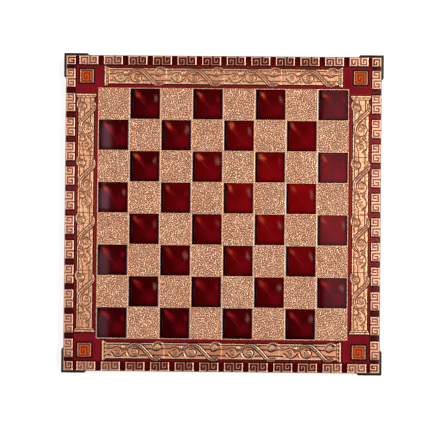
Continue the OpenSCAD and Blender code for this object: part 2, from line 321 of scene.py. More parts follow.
def square_lathe(name, centre, profile, corner_r):
    """Solid whose outline is a square with round corners at each height.

    profile holds half sizes and heights, from the underside's edge up and over to the middle.
    """
    angles = np.radians(np.arange(0, 360, 90)[:, None] + np.linspace(0, 90, 5)[None])
    corner = np.stack([np.cos(angles), np.sin(angles)], -1)
    sign = np.array([[1, 1], [-1, 1], [-1, -1], [1, -1]])[:, None]
    points, faces = [], []
    for half_w, z in profile:
        r = min(corner_r, half_w / 2)
        flat = ((half_w - r) * sign + r * corner).reshape(-1, 2) + centre
        points.append(np.column_stack([flat, np.full(len(flat), z)]))
    n = len(points[0])
    for k in range(len(profile) - 1):
        for i in range(n):
            j = (i + 1) % n
            faces.append([k * n + i, k * n + j, k * n + n + j, k * n + n + i])
    faces.append(list(range(n))[::-1])
    faces.append(list(range(len(profile) * n - n, len(profile) * n)))
    mesh = bpy.data.meshes.new(name)
    mesh.from_pydata((np.vstack(points) * MM).tolist(), [], faces)
    return finished(mesh)


def node_mesh(node):
    """The frame's mesh of a node, with its split points joined."""
    bm = bmesh.new()
    bm.from_mesh(NODES[node].data)
    bmesh.ops.remove_doubles(bm, verts=bm.verts, dist=0.002 * MM)
    return bm


def softened(name, node, radius, crease=30):
    """A node's shape with its edges rounded."""
    bm = node_mesh(node)
    bmesh.ops.dissolve_limit(bm, angle_limit=math.radians(1), verts=bm.verts, edges=bm.edges)
    sharp = [e for e in bm.edges if e.is_manifold and e.calc_face_angle() > math.radians(crease)]
    bmesh.ops.bevel(
        bm, geom=sharp, offset=radius * MM, segments=3, profile=0.5, affect="EDGES", clamp_overlap=True
    )
    mesh = bpy.data.meshes.new(name)
    bm.to_mesh(mesh)
    bm.free()
    return finished(mesh, crease)


def turn(piece, quarters, shift=(0, 0)):
    """Turns a piece's mesh clockwise by quarter turns, after moving it."""
    piece.data.transform(Matrix.Translation((shift[0] * MM, shift[1] * MM, 0)))
    piece.data.transform(Matrix.Rotation(-quarters * math.pi / 2, 4, "Z"))
    return piece


def fit(piece, material, slot, *stands_for):
    """Gives a new piece its material and body, and hides the nodes that it stands for. slot is not used."""
    piece.data.materials.clear()
    piece.data.materials.append(material)
    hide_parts(*stands_for)
    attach(piece, "root")


# Material tools

# Places of the share and the colours among the Mix node's sockets
SHARE, UNDER, OVER, MIXED = 0, 6, 7, 2


def paint(hex_colour):
    """Linear colour of an sRGB hex value."""
    parts = [int(hex_colour[k : k + 2], 16) / 255 for k in (1, 3, 5)]
    return (*[c / 12.92 if c <= 0.04045 else ((c + 0.055) / 1.055) ** 2.4 for c in parts], 1)


def add(tree, kind, inputs=(), output=0, **settings):
    """Adds a node with its settings, and its inputs as values or as sockets to link.

    Returns one output of the node, if it has any.
    """
    node = tree.nodes.new(kind)
    for key, value in settings.items():
        setattr(node, key, value)
    for key, value in dict(inputs).items():
        if isinstance(value, bpy.types.NodeSocket):
            tree.links.new(value, node.inputs[key])
        else:
            node.inputs[key].default_value = value
    return node.outputs[output] if node.outputs else None


def empty_tree(owner):
    """Emptied node tree of a material or of the world."""
    owner.use_nodes = True
    owner.node_tree.nodes.clear()
    return owner.node_tree


def new_material(name):
    """New material, its empty node tree, and the place of each point on the board."""
    material = bpy.data.materials.new(name)
    tree = empty_tree(material)
    return material, tree, add(tree, "ShaderNodeNewGeometry", output="Position")


def surfaced(material, values):
    """Ends a material with one shader that has these values."""
    tree = material.node_tree
    shader = add(tree, "ShaderNodeBsdfPrincipled", values)
    add(tree, "ShaderNodeOutputMaterial", {"Surface": shader})
    return material


def tinted(tree, ground, *tints, mode="MIX"):
    """Ground colour with tints laid over it in turn, each by its share. Colours are hex or sockets."""
    for share, tint in tints:
        under, over = [paint(c) if isinstance(c, str) else c for c in (ground, tint)]
        values = {SHARE: share, UNDER: under, OVER: over}
        ground = add(tree, "ShaderNodeMix", values, MIXED, data_type="RGBA", blend_type=mode)
    return ground


def clouding(tree, place, size, detail, band=(0, 1), strength=(0, 1)):
    """Cloudy patches of one size. The part of the noise in band is stretched over strength."""
    values = {"Vector": place, "Scale": 1 / (size * MM), "Detail": detail}
    noise = add(tree, "ShaderNodeTexNoise", values, "Fac")
    limits = zip(("From Min", "From Max", "To Min", "To Max"), (*band, *strength))
    return add(tree, "ShaderNodeMapRange", {"Value": noise, **dict(limits)})


def glint(tree, place, centre, size, turned=0, full=1, strength=1):
    """Soft oval spot, turned by degrees: nothing at its edge, rising to its strength, which it has
    wherever the fade towards its centre is past full."""
    values = {
        "Vector": place,
        "Location": (centre[0] * MM, centre[1] * MM, 0),
        "Rotation": (0, 0, math.radians(turned)),
        "Scale": (size[0] * MM, size[1] * MM, 1),
    }
    oval = add(tree, "ShaderNodeMapping", values, vector_type="TEXTURE")
    fade = add(tree, "ShaderNodeTexGradient", {"Vector": oval}, "Fac", gradient_type="QUADRATIC_SPHERE")
    return add(tree, "ShaderNodeMapRange", {"Value": fade, "From Max": full, "To Max": strength})


# Materials

# Clear glossy top of the red enamels, over a ground that doesn't shine
GLASSY = {"Roughness": 0.5, "Specular IOR Level": 0.0, "Coat Weight": 1.0, "Coat IOR": 1.5}


def plated_casting(name, pink, gold, patina, rough, specked=0):
    """Zinc casting with satin copper plating: pinker where it is rubbed, golden elsewhere, covered
    by a dull brown patina in the recesses, and faintly gritty like a cast skin. Some pieces lay
    painted highlight into the rubbed mark and painted shade into the recess mark. specked is how
    much of the patina is left in specks on the open metal."""
    material, tree, place = new_material(name)
    # The plating's tone drifts over about 30 mm
    drift = clouding(tree, place, 30, 3, (0.35, 0.65), (-0.25, 0.35))
    handled = add(tree, "ShaderNodeAttribute", output="Fac", attribute_name="rubbed")
    rubbed = add(tree, "ShaderNodeMath", {0: drift, 1: handled}, operation="ADD", use_clamp=True)
    # The real specks are finer, and are drawn at 2.2 mm so that they show
    specks = clouding(tree, place, 2.2, 1, (0.48, 0.66), (0, specked))
    sunk = add(tree, "ShaderNodeAttribute", output="Fac", attribute_name="recess")
    dull = add(tree, "ShaderNodeMath", {0: sunk, 1: specks}, operation="MAXIMUM")
    # Cast grit of about 0.3 mm, drawn at 0.6 mm so that it shows
    grit = clouding(tree, place, 0.6, 2)
    bare = {"Value": dull, "From Min": 0.2, "From Max": 0.9, "To Min": 1, "To Max": 0.1}
    matt = {"Value": dull, "To Min": rough, "To Max": rough + 0.3}
    return surfaced(material, {
        "Base Color": tinted(tree, gold, (rubbed, pink), (dull, patina)),
        "Metallic": add(tree, "ShaderNodeMapRange", bare),
        "Specular IOR Level": 0.0,
        "Roughness": add(tree, "ShaderNodeMapRange", matt),
        "Normal": add(tree, "ShaderNodeBump", {"Height": grit, "Distance": 0.02 * MM, "Strength": 0.6}),
    })


def square_enamel():
    """Translucent red enamel poured over bright metal: nearly black, with a painted glow in blood
    red, painted glints and painted shade along its walls, and as glossy as glass."""
    material, tree, place = new_material("translucent_red_enamel")
    inner = add(tree, "ShaderNodeTexCoord", output="Object")
    # The pour's ripples, 11 mm wide, shift each glint by up to 4 mm
    ripples = add(tree, "ShaderNodeTexNoise", {"Vector": place, "Scale": 1 / (11 * MM), "Detail": 2}, "Color")
    shifts = {0: ripples, 1: (8 * MM,) * 3, 2: (-4 * MM,) * 3}
    shift = add(tree, "ShaderNodeVectorMath", shifts, operation="MULTIPLY_ADD")
    rippled = add(tree, "ShaderNodeVectorMath", {0: inner, 1: shift}, operation="ADD")

    # Painted glow over the whole field, strongest right of the middle, with clouds half a square wide
    glow = glint(tree, place, (75, 20), (260, 200))
    clouds = clouding(tree, place, 18, 2, (0.4, 0.7))
    body = tinted(tree, "#420205", (glow, "#a20b0d"))
    body = tinted(tree, body, (clouds, "#d8b0b0"), mode="MULTIPLY")
    # Painted glints of each square, from its middle: a broad patch, then a fan, streak, flare and smear
    lit = glint(tree, rippled, (7, -6), (14, 14), 0, 0.6, 0.4)
    fan = glint(tree, rippled, (-6, 8), (13.5, 5.6), -50, 0.5, 0.85)
    streaky = clouding(tree, place, 70, 0, (0.47, 0.55), (0.15, 1))
    streak = glint(tree, inner, (-2.8, 2), (16.5, 1), -50, 1, streaky)
    strong = clouding(tree, place, 60, 0, (0.42, 0.58), (0.5, 1))
    flare = glint(tree, rippled, (-9.5, 11.2), (7.4, 3.8), -48, 0.55, strong)
    sunny = glint(tree, place, (30, 170), (360, 300), 0, 0.3)
    smear = glint(tree, rippled, (11.8, 5.8), (3.6, 7.5), 8, 0.55, 0.9)
    pale = clouding(tree, place, 50, 0, (0.45, 0.55))
    # Painted shade along the walls, and a thin painted reflection of the wall near the left side
    edge = add(tree, "ShaderNodeAttribute", output="Fac", attribute_name="edge")
    wall_line = glint(tree, inner, (-13.8, -1), (0.6, 14), 0, 0.5, 0.5)
    tints = (
        (lit, "#8e0a1e"),
        (fan, "#820c0e"),
        (streak, "#8c2430"),
        (flare, tinted(tree, "#9c262a", (sunny, "#d05a34"))),
        (smear, tinted(tree, "#86081c", (pale, "#8c504a"))),
        (edge, "#120102"),
        (wall_line, "#5c3a44"),
    )
    return surfaced(material, {**GLASSY, "Base Color": tinted(tree, body, *tints), "Coat Roughness": 0.035})


def channel_enamel():
    """Crimson enamel in the border channels, a shade brighter than the squares', with painted shade
    along the metal and in the pits, and a painted glow to the right."""
    material, tree, place = new_material("crimson_channel_enamel")
    edge = add(tree, "ShaderNodeAttribute", output="Fac", attribute_name="edge")
    pit = add(tree, "ShaderNodeAttribute", output="Fac", attribute_name="pit")
    clouds = clouding(tree, place, 20, 2)
    # Painted glow to the right, which turns the enamel near the metal orange and lights the pits; then
    # painted shade in the pits and a painted shadow line along the metal
    sunny = glint(tree, place, (60, 30), (500, 240))
    by_metal = add(tree, "ShaderNodeMapRange", {"Value": edge, "From Max": 0.16})
    in_pit = add(tree, "ShaderNodeMapRange", {"Value": pit, "To Max": 0.85})
    sunny_pit = add(tree, "ShaderNodeMapRange", {"Value": sunny, "From Min": 0.14, "From Max": 0.4})
    dark_line = add(tree, "ShaderNodeMapRange", {"Value": edge, "From Min": 0.38, "From Max": 0.74})
    body = tinted(
        tree,
        "#6e0e1b",
        (clouds, "#aa1e30"),
        (by_metal, tinted(tree, "#741812", (sunny, "#c85636"))),
        (in_pit, tinted(tree, "#440504", (sunny_pit, "#a82e30"))),
        (dark_line, "#2a0204"),
    )
    return surfaced(material, {**GLASSY, "Base Color": body, "Coat Roughness": 0.04})


def orange_enamel():
    """Opaque orange enamel over a raised key: bright on top in clouds of 4 mm, burnt red in the
    grooves, and glossy."""
    material, tree, place = new_material("orange_enamel")
    sunk = add(tree, "ShaderNodeAttribute", output="Fac", attribute_name="recess")
    body = tinted(tree, "#e04c08", (clouding(tree, place, 4, 2), "#f67e1a"), (sunk, "#a01c06"))
    values = {"Base Color": body, "Roughness": 0.4, "Specular IOR Level": 0.1, "Coat Weight": 0.15}
    return surfaced(material, values)


def satin_black():
    """Black stove enamel on the feet: deep and satin, with a slight orange peel of 1.2 mm."""
    material, tree, place = new_material("satin_black_paint")
    peel = clouding(tree, place, 1.2, 1)
    return surfaced(material, {
        "Base Color": paint("#0c0a0b"),
        "Specular IOR Level": 0.2,
        "Roughness": add(tree, "ShaderNodeMapRange", {"Value": peel, "To Min": 0.32, "To Max": 0.48}),
        "Normal": add(tree, "ShaderNodeBump", {"Height": peel, "Distance": 0.02 * MM, "Strength": 0.5}),
    })


def beech_plywood():
    """Sanded beech plywood of the core: pale, with brown grain lines 4 mm apart, 125 mm long and
    1.1 mm deep."""
    material, tree, place = new_material("beech_plywood")
    along = add(tree, "ShaderNodeMapping", {"Vector": place, "Scale": (0.008, 0.25, 0.9)})
    colour = tinted(tree, "#b98f62", (clouding(tree, along, 1, 4), "#e0bd90"))
    return surfaced(material, {"Base Color": colour, "Roughness": 0.7})


def black_felt():
    """Felt lining: matt black, with short matted fibres that catch a little light."""
    material, tree, place = new_material("black_felt")
    # Fibres of about 0.1 mm, drawn at 0.8 mm so that they show
    fibre = clouding(tree, place, 0.8, 4)
    return surfaced(material, {
        "Base Color": tinted(tree, "#0c0a0a", (fibre, "#2a2526")),
        "Roughness": 0.95,
        "Sheen Weight": 0.3,
        "Normal": add(tree, "ShaderNodeBump", {"Height": fibre, "Distance": 0.15 * MM, "Strength": 0.8}),
    })


def turned_steel():
    """Plain turned steel of the foot screws, with faint marks of the tool."""
    material, tree, place = new_material("turned_steel")
    # Tool marks of about 0.1 mm, drawn at 0.4 mm so that they show
    marks = clouding(tree, place, 0.4, 2, strength=(0.3, 0.5))
    return surfaced(material, {"Base Color": paint("#a09c98"), "Metallic": 1.0, "Roughness": marks})


# Field casting

PEBBLE_STEP = 0.33
# The real pebbles are about 1.5 mm wide and are drawn at 2 to 3 mm so that they show
PEBBLE_LONG, PEBBLE_SHORT = 3.2, 1.9
PEBBLE_H, PEBBLE_SINK, PEBBLE_PLUMP = 0.3, 0.2, 1.1
# Heights at which a pebble's shine and its hollows' dullness start and are full
PEBBLE_SHADE = (0.1, 0.8)
# A smooth rim frames each light square: where the pebbles start and are full, and how dull it is
PEBBLE_RIM = (0.25, 0.9)
RIM_DULL = 0.3
POCKET_R = 0.8
# Distances in from a pocket's outline, and the heights there
WALL_IN = np.array([-0.4, -0.15, 0, 0.15, 0.45, 0.85])
WALL_Z = np.array([z_face, z_face - 0.05, z_face - 0.3, z_pocket, z_pocket, z_pocket])
# Distances in from the field's edge, where the metal drops to the seam
LIP_IN = np.array([0, 0.12, 0.3])
SEAM_DROP = 0.3
# Other grid lines keep this far off those of the walls
WALL_GAP = 0.12


def is_dark(file, rank):
    """True for a dark square, with files counted from 0 and ranks from 1."""
    return (file + rank) % 2 == 1


def field_rank(rank):
    """One rank of the field casting: pebbled light squares, and the pockets of the dark ones."""
    cells = round(pitch / PEBBLE_STEP)
    step = pitch / cells
    even = np.linspace(0, pitch, cells + 1)
    wall = (pitch - pocket_w) / 2 + WALL_IN
    walls = np.concatenate([wall, pitch - wall])
    clear = even[np.abs(even[:, None] - walls).min(1) > WALL_GAP]
    starts = (np.arange(SQUARES) - SQUARES / 2) * pitch
    bottom = starts[rank - 1]

    rows = bottom + np.concatenate([walls, clear])
    if rank == 1:
        rows = np.append(rows, LIP_IN - seam)
    if rank == SQUARES:
        rows = np.append(rows, seam - LIP_IN)
    dark_lines = np.append(walls, [0, pitch])
    blocks = [a + (dark_lines if is_dark(f, rank) else even) for f, a in enumerate(starts)]
    rows = np.unique(rows.round(4))
    cols = np.unique(np.concatenate([LIP_IN - seam, *blocks, seam - LIP_IN]).round(4))
    x, y = np.meshgrid(cols, rows)

    at = np.clip(np.floor(x / pitch + SQUARES / 2 + 1e-6), 0, SQUARES - 1)
    mid_x, mid_y = (at - (SQUARES - 1) / 2) * pitch, bottom + pitch / 2
    u, v = x - mid_x, y - mid_y
    dark = is_dark(at, rank)
    round_u, round_v, depth = round_corners(pocket_w / 2, POCKET_R, u, v)
    z_dark = np.interp(depth, WALL_IN, WALL_Z)
    bumps = grain(cells + 1, SQUARES * cells + 1, step, PEBBLE_LONG, PEBBLE_SHORT)
    row_at = np.clip(np.rint((y - bottom) / step), 0, cells).astype(int)
    col_at = np.clip(np.rint((x - starts[0]) / step), 0, SQUARES * cells).astype(int)
    bumps = np.tanh(PEBBLE_PLUMP * bumps[row_at, col_at])
    from_edge = pitch / 2 - np.maximum(np.abs(u), np.abs(v))
    rough = ramp(from_edge, *PEBBLE_RIM)
    z_light = z_face + rough * (PEBBLE_H * bumps - PEBBLE_SINK)
    z = np.where(dark, z_dark, z_light)
    from_seam = seam - np.maximum(np.abs(x), np.abs(y))
    z -= SEAM_DROP * (1 - ramp(from_seam, 0, LIP_IN[-1]))

    bend = dark & (depth > WALL_IN[0] - HAIR)
    x = np.where(bend, mid_x + round_u, x)
    y = np.where(bend, mid_y + round_v, y)
    # The pebbles' tops are rubbed pinker and their hollows hold patina; these also stand in for the pebbles'
    # light and shade, as painted highlight and painted shade. The smooth rim takes a little patina.
    hollow = np.maximum(RIM_DULL * (1 - rough), rough * ramp(-bumps, *PEBBLE_SHADE))
    marks = {
        "recess": np.where(dark, ramp(depth, -0.1, 0.1), hollow),
        "rubbed": np.where(dark, 1, rough * ramp(bumps, *PEBBLE_SHADE)),
    }
    floor = np.array([wall[-1], pitch - wall[-1]]) - HAIR
    floors = []
    for f, start in enumerate(starts):
        if is_dark(f, rank):
            sides = np.searchsorted(rows, bottom + floor), np.searchsorted(cols, start + floor)
            floors.append(np.concatenate(sides))
    return grid_solid(f"field_rank_{rank}", x, y, z, z_core, marks, floors)


# Enamel of the dark squares

# The enamel climbs the metal by this height, within this distance of it
MENISCUS_H, MENISCUS_W = 0.13, 0.45
# Each pour tilts and dishes a little, and its middle lies a little low
POUR_TILT, POUR_DISH, POUR_SINK = 0.0008, 0.006, 0.02
# Grid of a pour: lines in from each edge, and even cells between them
POUR_LINES = np.array([0, 0.15, 0.35, 0.6, 1.0, 1.5, 2.2, 3.2])
POUR_CELLS = 18
# Shade along all walls, on the left, right and bottom, and in the low left corner: its strength,
# and the distances from the wall at which it starts and has ended fading
SHADES = ((0.85, 0.2, 1.4), (1, 2.2, 4.6), (0.8, 1, 3.4), (0.9, 0.8, 2.8), (0.5, 2, 9))


def dark_square(name):
    """Enamel of one dark square: level as poured, climbing the metal at its edges."""
    even = np.linspace(POUR_LINES[-1], pocket_w - POUR_LINES[-1], POUR_CELLS + 1)
    line = np.concatenate([POUR_LINES[:-1], even, pocket_w - POUR_LINES[-2::-1]]) - pocket_w / 2
    x, y = np.meshgrid(line, line)
    x, y, depth = round_corners(pocket_w / 2, POCKET_R + 0.15, x, y)
    tilt_x, tilt_y = rng.normal(0, POUR_TILT, 2)
    dish = POUR_DISH * rng.normal(0, 1) * (x**2 + y**2) / (pocket_w / 2) ** 2
    climb = MENISCUS_H * np.exp(-((depth / MENISCUS_W) ** 2))
    z = z_inlay - POUR_SINK + x * tilt_x + y * tilt_y + dish + climb
    left, right, bottom = pocket_w / 2 + x, pocket_w / 2 - x, pocket_w / 2 + y
    low_left = np.minimum(left, 1.6 * bottom)
    edge = np.zeros(x.shape)
    for distance, (strength, start, end) in zip((depth, left, right, bottom, low_left), SHADES):
        edge = np.maximum(edge, strength * (1 - ramp(distance, start, end)))
    return grid_solid(name, x, y, z, z_pocket, {"edge": edge})


# Border castings

# One square key, as rectangles of its groove in cells
KEY_GROOVE = ((5, 0, 6, 6), (1, 5, 6, 6), (1, 1, 2, 6), (1, 1, 4, 2), (3, 1, 4, 4))
# The relief's edges slope this far to both sides
SOFT = 0.165
# The land's edge: distances in from its outline, and the heights there
LAND_IN = (-SOFT, 0, SOFT, 0.5, 0.9)
LAND_Z = (z_channel, z_enamel, z_face - 0.3, z_face - 0.06, z_face)
# Where the outer lip sinks to the depth of the grooves, and how the slab's edge is rounded off
LIP_AT = (key_out - 0.1, key_out + 0.3)
EDGE_ROUND, EDGE_DROP = 0.3, 0.25
RIM_IN = np.array([0.12, 0.4])
# Closest and widest steps of the grid
LINE_CLOSE, LINE_WIDE = 0.1, 0.8
# Patina in the grooves outside the painted shade, and how far in the crest of a ridge under painted shade
# starts
GROOVE_PATINA = 0.66
CREST = 0.4
SKIRT_ROUND = 0.4
# The skirt's lowest millimetre is a little dull
SKIRT_DULL, SKIRT_DULL_H = 0.4, 1


def off_groove(p, q, cell_p, cell_q):
    """Distance from a key's groove: positive on the ridges and negative in the groove."""
    gap = np.full(p.shape, np.inf)
    for u0, v0, u1, v1 in KEY_GROOVE:
        rect = (u0 * cell_p, v0 * cell_q, u1 * cell_p, v1 * cell_q)
        gap = np.minimum(gap, -inside(rect, p, q))
    return gap


def side_view(i, x, y):
    """Places along side i and out from the board's middle, for side i clockwise from the north."""
    return ((x, y), (-y, x), (-x, -y), (y, -x))[i]


def off_grooves(x, y):
    """Distance from the nearest groove of the whole border."""
    gap = np.full(x.shape, np.inf)
    cell = key_d / key_cells
    for i in range(4):
        u, v = side_view(i, x, y)
        k = np.clip(np.floor((u + pair_start) / pair_pitch), 0, pair_count - 1)
        p, q = u + pair_start - k * pair_pitch, v - key_in
        first = off_groove(p, q, pair_cell, cell)
        second = off_groove(pair_l - p, key_d - q, pair_cell, cell)
        in_row = (v > key_in - 1) & (np.abs(u) < pair_start + 1)
        gap = np.where(in_row, np.minimum(gap, np.minimum(first, second)), gap)
        block = off_groove(u - corner_in, v - corner_in, corner_cell, corner_cell)
        in_block = (u > corner_in) & (v > corner_in)
        gap = np.where(in_block, np.minimum(gap, block), gap)
    return gap


def off_pit(across, out, half_w, r):
    """Distance from a pit that is open to the channel and has round outer corners."""
    round_end = np.hypot(np.maximum(across - half_w + r, 0), np.maximum(out - key_d + r, 0)) - r
    return np.where(out < key_d - r, across - half_w, round_end)


def on_land(near, far):
    """Distance in from the edge of the raised land: key row, corner blocks and outer lip. near and
    far are a place's smaller and larger distance from the board's two middle lines."""
    phase = (near + pair_start) % pair_pitch
    to_pit = np.minimum(np.abs(phase - pair_l - pit_w / 2), phase + pit_w / 2)
    wide = off_pit(to_pit, far - key_in, pit_w / 2, pit_r)
    wide = np.where(near < pair_start + 1, wide, np.inf)
    gap_c = corner_in - corner_gap / 2
    narrow = off_pit(np.abs(near - gap_c), far - key_in, corner_gap / 2, corner_gap_r)
    row = np.minimum(far - key_in, np.minimum(wide, narrow))
    return np.maximum(row, near - corner_in)


def border_lines(low, high):
    """Grid lines along X or Y over part of the border, close on both sides of each edge."""
    pairs = -pair_start + pair_pitch * np.arange(pair_count)[:, None]
    pairs = (pairs + pair_cell * np.arange(2 * key_cells)).ravel()
    row = key_in + key_d / key_cells * np.arange(key_cells + 1)
    block = corner_in + corner_cell * np.arange(key_cells + 1)
    edges = np.concatenate([pairs, [pair_start], row, block])
    edges = np.concatenate([edges, -edges])
    rim = half - RIM_IN
    soft = np.concatenate([edges - SOFT, edges + SOFT, rim, -rim])
    soft = soft[(soft > low + 0.08) & (soft < high - 0.08)]
    return grid_line(np.concatenate([[low], soft, [high]]), LINE_CLOSE, LINE_WIDE)


def border_casting(i):
    """One border casting: channel floor, grooved key row, pits and outer lip."""
    end = half if i % 2 == 0 else seam
    u, v = np.meshgrid(border_lines(-end, end), border_lines(seam, half))
    x, y = side_view((4 - i) % 4, u, v)
    near, far = np.minimum(np.abs(x), np.abs(y)), np.maximum(np.abs(x), np.abs(y))
    land = on_land(near, far)
    gap = off_grooves(x, y)
    lip = ramp(far, *LIP_AT)
    z = np.interp(land, LAND_IN, LAND_Z)
    sunk = np.maximum(1 - ramp(gap, -SOFT, SOFT), lip)
    z = np.where(land > 0, z - groove_d * sunk * ramp(land, 0, 0.3), z)
    z -= EDGE_DROP * ramp(far, half - EDGE_ROUND, half)
    # The middle of the rows along the ranks is painted darker, with full patina and only narrow
    # bright crests: painted shade, as the side lamps light them less. The rows along the files stay
    # bright, and the corner blocks take full patina in their grooves.
    in_row = 1 - ramp(near, 0.5 * pair_start, pair_start)
    dull = np.where(np.abs(y) > np.abs(x), in_row, 0)
    in_corner = ramp(near, corner_in - 1, corner_in)
    recess = GROOVE_PATINA + (1 - GROOVE_PATINA) * np.maximum(dull, in_corner)
    recess = recess * (1 - ramp(gap - CREST * dull, -0.25, SOFT))
    # No patina on the outer lip, and full patina on the walls down to the enamel, as painted shade there
    recess = np.maximum(recess * (1 - lip), 1 - ramp(land, -0.1, 0.15))
    rubbed = (1 - ramp(land, 0.9, 2.2)) * (1 - lip)
    marks = {"recess": recess, "rubbed": rubbed}
    return turn(grid_solid(f"{SIDES[i]}_border_casting", u, v, z, z_core, marks), i)


def border_skirt(i):
    """The casting's skirt, which wraps the slab's edge below the channel floor."""
    a, b = half, half - skirt_t
    if i % 2 == 0:
        outline = [(-a, seam), (-b, seam), (-b, b), (b, b), (b, seam), (a, seam), (a, a), (-a, a)]
    else:
        outline = [(-seam, b), (seam, b), (seam, a), (-seam, a)]
    bm = bmesh.new()
    cap = bm.faces.new([bm.verts.new((x * MM, y * MM, z_under * MM)) for x, y in outline])
    bm.normal_update()
    if cap.normal.z > 0:
        cap.normal_flip()
    raised = bmesh.ops.extrude_face_region(bm, geom=[cap])
    top = [e for e in raised["geom"] if isinstance(e, bmesh.types.BMVert)]
    bmesh.ops.translate(bm, verts=top, vec=(0, 0, (z_core - z_under) * MM))
    bmesh.ops.recalc_face_normals(bm, faces=bm.faces)
    low_edges = [e for e in bm.edges if all(v.co.z < (z_under + 0.1) * MM for v in e.verts)]
    bmesh.ops.bevel(bm, geom=low_edges, offset=SKIRT_ROUND * MM, segments=3, profile=0.5, affect="EDGES")
    mesh = bpy.data.meshes.new(f"{SIDES[i]}_border_skirt")
    bm.to_mesh(mesh)
    bm.free()
    dull = [SKIRT_DULL * (v.co.z < (z_under + SKIRT_DULL_H) * MM) for v in mesh.vertices]
    mark_points(mesh, {"recess": dull, "rubbed": np.zeros(len(dull))})
    return turn(finished(mesh), i)


# Enamel in the border channels

RIM_STEPS = (0.16, 0.4)
OUTLINE_STEP = 0.9
SHEET_STEP = 0.55
# How far in from the metal the enamel's colour still changes
EDGE_REACH = 2.4
SHEET_CREASE = 50


def outlines(bm, top):
    """Points of each outline of a flat region in order, with the region on their left."""
    region = set(top)
    follow = {}
    for face in top:
        for corner in face.loops:
            if not all(f in region for f in corner.edge.link_faces):
                follow[corner.vert] = corner.link_loop_next.vert
    loops = []
    while follow:
        vert, nxt = follow.popitem()
        line = [vert]
        while nxt is not line[0]:
            line.append(nxt)
            nxt = follow.pop(nxt)
        loops.append(np.array([v.co[:2] for v in line]) / MM)
    return loops


def runs(line):
    """Pairs of neighbouring points round a closed outline."""
    return zip(line, np.roll(line, -1, 0))


def directions(line):
    """Direction from each point of a closed outline to the next."""
    step = np.roll(line, -1, 0) - line
    return step / np.linalg.norm(step, axis=1, keepdims=True)


def on_seam(a, b):
    """True for an outline's edge that meets the next casting's enamel."""
    level = abs(abs(a[1]) - seam) < HAIR and abs(abs(b[1]) - seam) < HAIR
    near, far = sorted((abs(a[0]), abs(b[0])))
    return level and near > seam - HAIR and far < key_in + HAIR


def corners(line):
    """Closed outline without its points on straight runs, and with points where a seam ends."""
    step = directions(line)
    before = np.roll(step, 1, 0)
    line = line[np.abs(before[:, 0] * step[:, 1] - before[:, 1] * step[:, 0]) > HAIR]
    points = []
    for a, b in runs(line):
        points.append(a)
        if abs(abs(a[1]) - seam) < HAIR and abs(a[1] - b[1]) < HAIR:
            low, high = sorted((a[0], b[0]))
            ends = [x for x in (-key_in, -seam, seam, key_in) if low + 0.1 < x < high - 0.1]
            points += [np.array([x, a[1]]) for x in sorted(ends, reverse=a[0] > b[0])]
    return np.array(points)


def evened(line):
    """Outline with even points on long runs. On a seam they are closer near the metal."""
    points = []
    for a, b in runs(line):
        length = np.linalg.norm(b - a)
        count = math.ceil(length / OUTLINE_STEP)
        at = np.arange(count) / count
        if on_seam(a, b):
            near, far = RIM_STEPS
            at = np.concatenate([[0, near], np.linspace(far, length - far, count), [length - near]]) / length
        points.extend(a + (b - a) * t for t in at)
    return np.array(points)


def set_in(line, reach):
    """Points that lie a little in from the metal along an outline."""
    normal = directions(line)[:, ::-1] * (-1, 1)
    before = np.roll(normal, 1, 0)
    move = (before + normal) / (1 + (before * normal).sum(1, keepdims=True))
    level = np.array([on_seam(a, b) for a, b in runs(line)])
    return (line + reach * move)[~(level | np.roll(level, 1))]


def within(points, loops):
    """True for the points inside a region's outlines."""
    crossed = np.zeros(len(points), int)
    for line in loops:
        for a, b in runs(line):
            if a[1] != b[1]:
                level = (points[:, 1] >= min(a[1], b[1])) & (points[:, 1] < max(a[1], b[1]))
                at = a[0] + (points[:, 1] - a[1]) * (b[0] - a[0]) / (b[1] - a[1])
                crossed += level & (points[:, 0] < at)
    return crossed % 2 == 1


def to_walls(points, loops, seams=True):
    """Distance from each point to the nearest outline. Without seams it is that to the metal."""
    nearest = np.full(len(points), np.inf)
    for line in loops:
        for a, b in runs(line):
            if seams or not on_seam(a, b):
                nearest = np.minimum(nearest, along_edge(a, b, points)[0])
    return nearest


def triangles(points, edges, loops):
    """Triangles between points that fill the region inside its outlines."""
    _, _, faces, *_ = delaunay_2d_cdt([Vector(p) for p in points.tolist()], edges, [], 0, 1e-5)
    faces = np.array(faces)
    return faces[within(points[faces].mean(1), loops)]


